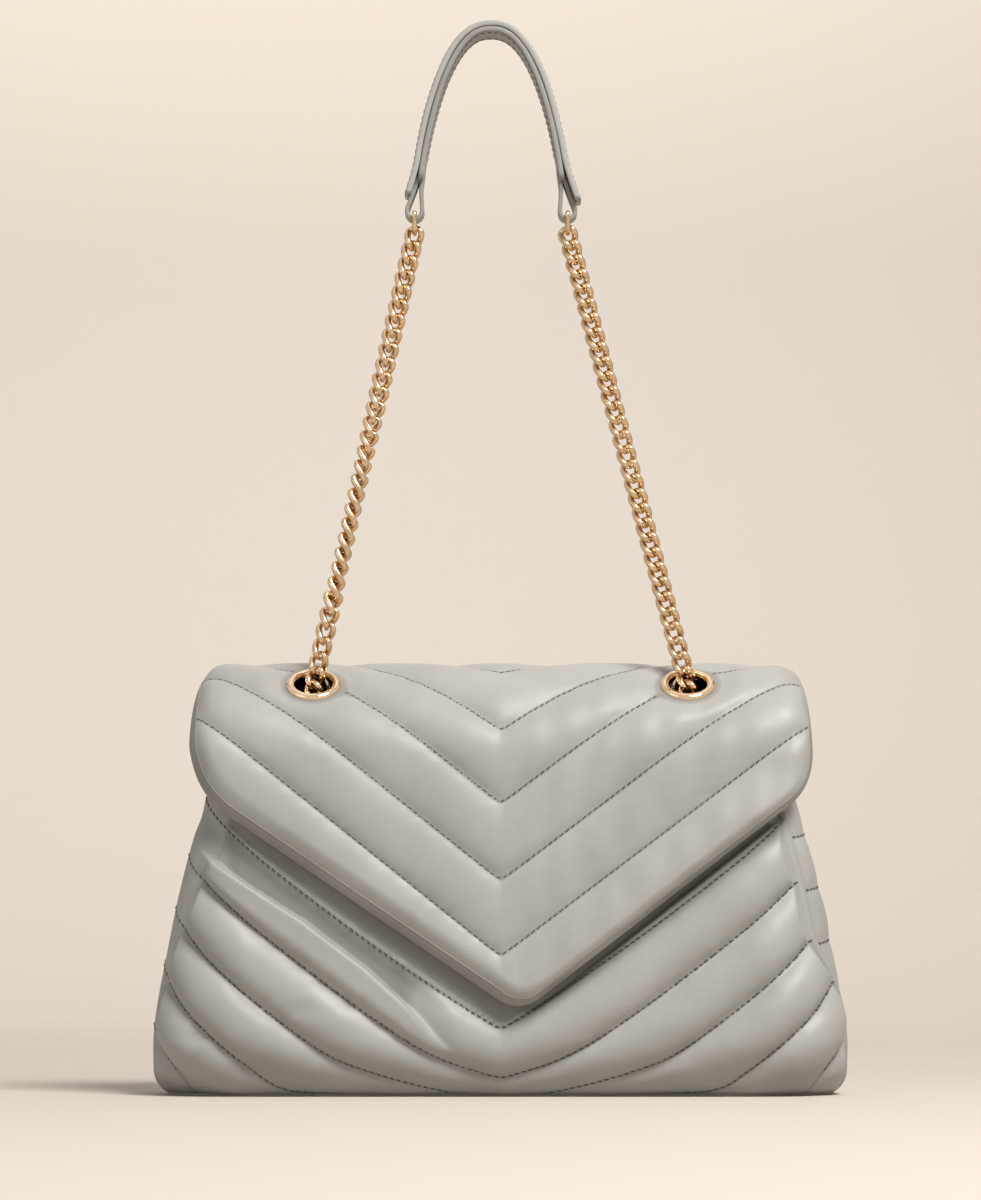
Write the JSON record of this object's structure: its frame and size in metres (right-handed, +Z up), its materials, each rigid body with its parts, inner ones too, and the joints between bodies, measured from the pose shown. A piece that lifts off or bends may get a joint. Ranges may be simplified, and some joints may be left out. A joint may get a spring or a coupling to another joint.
{
  "type": "chain shoulder bag",
  "caption": "Flap shoulder bag with chevron quilting, a pointed flap, and a curb chain strap that runs through grommets in the flap to a leather shoulder pad.",
  "frame": {"origin": "bottom centre of the bag's box, on the surface it stands on", "axes": "+X to the bag's right as seen from the front, +Y from the front to the back, +Z up along the hanging strap"},
  "size_m": [0.33, 0.111, 0.511],
  "materials": {
    "quilted_leather": "soft light grey quilted leather, fine grain, low sheen",
    "plain_leather": "soft light grey leather, fine grain, low sheen",
    "lining_leather": "smooth light grey leather, matt",
    "lining_cloth": "fine ribbed dark taupe cloth",
    "zip_tape": "woven tape",
    "base_board": "fibre board",
    "magnet_steel": "plain zinc plated steel",
    "gold_metal": "polished pale gold plating"
  },
  "bodies": {
    "bag": {"front_panel": "quilted_leather", "back_panel": "quilted_leather", "base_panel": "plain_leather", "gusset_left": "plain_leather", "gusset_right": "plain_leather", "base_board": "base_board", "lining_front": "lining_cloth", "lining_back": "lining_cloth", "lining_base": "lining_cloth", "lining_left": "lining_cloth", "lining_right": "lining_cloth", "facing_front": "lining_leather", "facing_back": "lining_leather", "pocket_bag": "lining_cloth", "zip_frame": "lining_leather", "zip_tape": "zip_tape", "zip_teeth": "gold_metal", "snap_socket": "gold_metal", "snap_magnet": "magnet_steel", "snap_socket_plate": "magnet_steel"},
    "flap": {"flap_outer": "quilted_leather", "flap_lining": "lining_leather", "flap_binding": "plain_leather", "snap_stud": "gold_metal", "snap_stud_plate": "magnet_steel", "grommet_left": "gold_metal", "grommet_right": "gold_metal", "grommet_washer_left": "gold_metal", "grommet_washer_right": "gold_metal", "chain_under_flap": "gold_metal", "chain_in_grommets": "gold_metal"},
    "fold": {"chain_fold": "gold_metal"},
    "strap_lower": {"chain_left_lower": "gold_metal", "chain_right_lower": "gold_metal"},
    "bend": {"chain_bend": "gold_metal"},
    "strap_upper": {"chain_left_upper": "gold_metal", "chain_right_upper": "gold_metal"},
    "pad": {"ring_left": "gold_metal", "ring_right": "gold_metal", "pad_inner": "lining_leather", "pad_cover": "quilted_leather"},
    "zip_slider": {"zip_slider": "gold_metal"},
    "zip_puller": {"zip_puller": "gold_metal"}
  },
  "joints": [
    {"name": "flap_hinge", "type": "hinge", "parent": "bag", "child": "flap", "pos_m": [0, 0.05285, 0.16268], "axis": [-1, 0, 0], "range_deg": [0, 130]},
    {"name": "strap_fold", "type": "hinge", "parent": "flap", "child": "fold", "pos_m": [0, -0.02227, 0.20722], "axis": [1, 0, 0], "range_deg": [-30, 30]},
    {"name": "strap_fold_2", "type": "hinge", "parent": "fold", "child": "strap_lower", "pos_m": [0, -0.02227, 0.21423], "axis": [1, 0, 0], "range_deg": [-30, 30]},
    {"name": "chain_bend", "type": "hinge", "parent": "strap_lower", "child": "bend", "pos_m": [0, -0.02227, 0.30525], "axis": [1, 0, 0], "range_deg": [-30, 30]},
    {"name": "chain_bend_2", "type": "hinge", "parent": "bend", "child": "strap_upper", "pos_m": [0, -0.02227, 0.31225], "axis": [1, 0, 0], "range_deg": [-30, 30]},
    {"name": "pad_tilt", "type": "hinge", "parent": "strap_upper", "child": "pad", "pos_m": [0, -0.02227, 0.41543], "axis": [1, 0, 0], "range_deg": [-30, 30]},
    {"name": "zip_slide", "type": "slide", "parent": "bag", "child": "zip_slider", "axis": [-1, 0, 0], "range_m": [0, 0.15]},
    {"name": "puller_swing", "type": "hinge", "parent": "zip_slider", "child": "zip_puller", "pos_m": [0.075, 0.03664, 0.12303], "axis": [0, -0.0805, 0.9968], "range_deg": [0, 170]}
  ],
  "couplings": [
    {"joint": "strap_fold_2", "follows": "strap_fold", "ratio": 1},
    {"joint": "chain_bend_2", "follows": "chain_bend", "ratio": 1}
  ]
}
